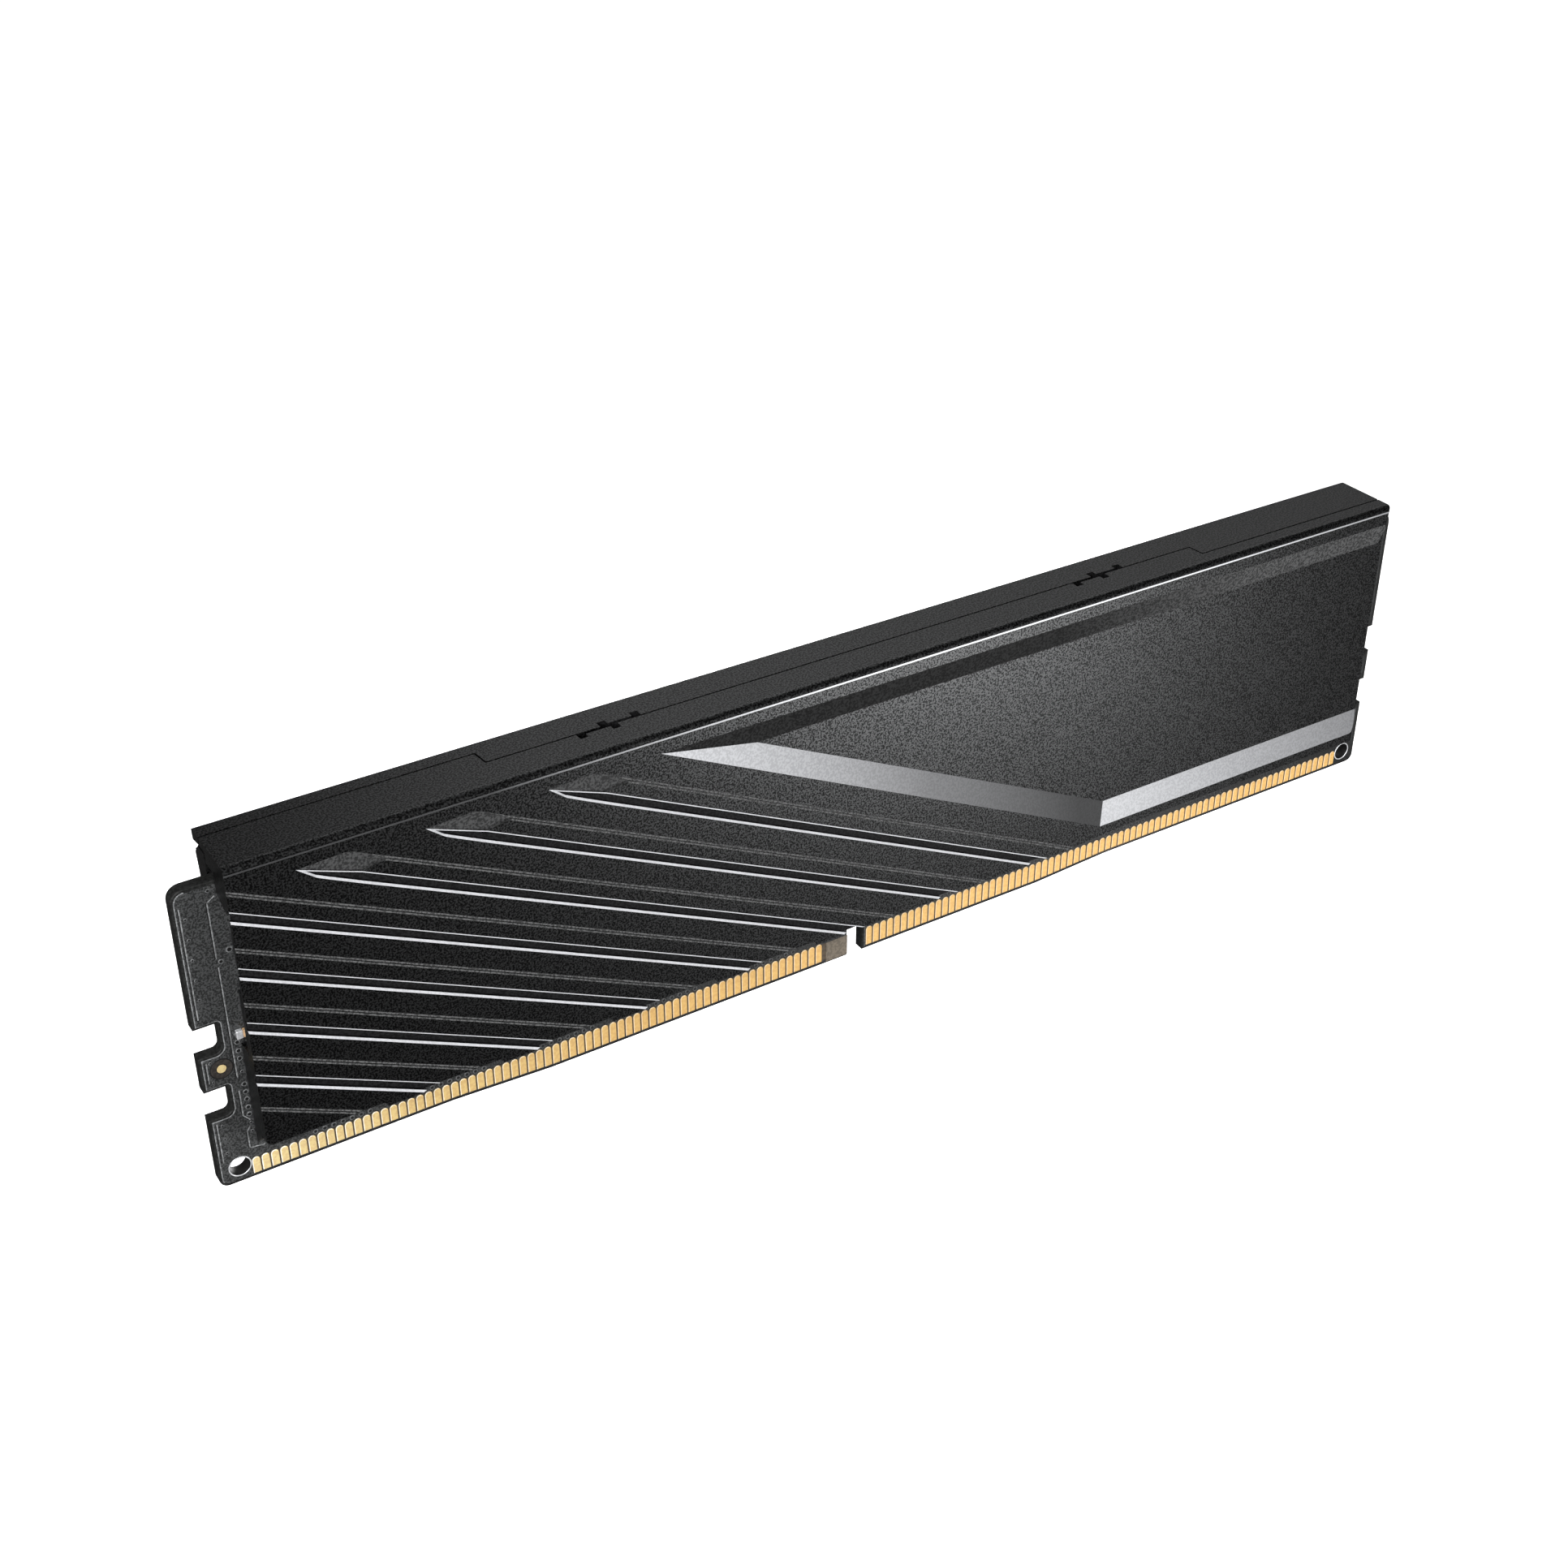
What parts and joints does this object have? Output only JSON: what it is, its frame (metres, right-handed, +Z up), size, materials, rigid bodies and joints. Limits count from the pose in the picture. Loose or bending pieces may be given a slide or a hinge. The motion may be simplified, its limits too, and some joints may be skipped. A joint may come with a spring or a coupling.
{
  "type": "memory module",
  "caption": "Desktop memory module: a long circuit board with gold edge contacts, chips on one face, and a low black aluminium heat spreader in two shells.",
  "frame": {"origin": "middle of the board's length and thickness, at the deepest stretch of the contact edge", "axes": "+X along the module, to the right seen from the front; the front faces -Y; +Z up, away from the socket"},
  "size_m": [0.1334, 0.0076, 0.034],
  "materials": {
    "anodised_aluminium": "black anodised, fine blasted grain",
    "solder_mask": "black solder mask on glass-fibre board, satin",
    "gold_plating": "hard gold plating, smooth",
    "tin_plating": "tin plating, satin",
    "chip_moulding": "moulded epoxy, matte",
    "ferrite": "pressed ferrite powder, matte",
    "ceramic_body": "fired ceramic with tinned ends",
    "thermal_pad": "soft silicone, matte"
  },
  "bodies": {
    "root": {"circuit_board": "solder_mask", "front_heat_spreader": "anodised_aluminium", "rear_heat_spreader": "anodised_aluminium", "contacts_front_left": "gold_plating", "contacts_front_right": "gold_plating", "contacts_rear_left": "gold_plating", "contacts_rear_right": "gold_plating", "plated_hole_left": "tin_plating", "plated_hole_right": "tin_plating", "memory_chip_1": "chip_moulding", "resistor_pack_1": "ceramic_body", "memory_chip_2": "chip_moulding", "resistor_pack_2": "ceramic_body", "memory_chip_3": "chip_moulding", "resistor_pack_3": "ceramic_body", "memory_chip_4": "chip_moulding", "resistor_pack_4": "ceramic_body", "memory_chip_5": "chip_moulding", "resistor_pack_5": "ceramic_body", "memory_chip_6": "chip_moulding", "resistor_pack_6": "ceramic_body", "memory_chip_7": "chip_moulding", "resistor_pack_7": "ceramic_body", "memory_chip_8": "chip_moulding", "resistor_pack_8": "ceramic_body", "chip_pad_left": "thermal_pad", "chip_pad_right": "thermal_pad", "rear_foam_pad": "thermal_pad", "power_chip": "chip_moulding", "hub_chip": "chip_moulding", "inductor_1": "ferrite", "inductor_2": "ferrite", "inductor_3": "ferrite", "bulk_capacitor_1": "ceramic_body", "bulk_capacitor_2": "ceramic_body", "bulk_capacitor_3": "ceramic_body", "bulk_capacitor_4": "ceramic_body", "edge_capacitor": "ceramic_body"}
  },
  "joints": []
}
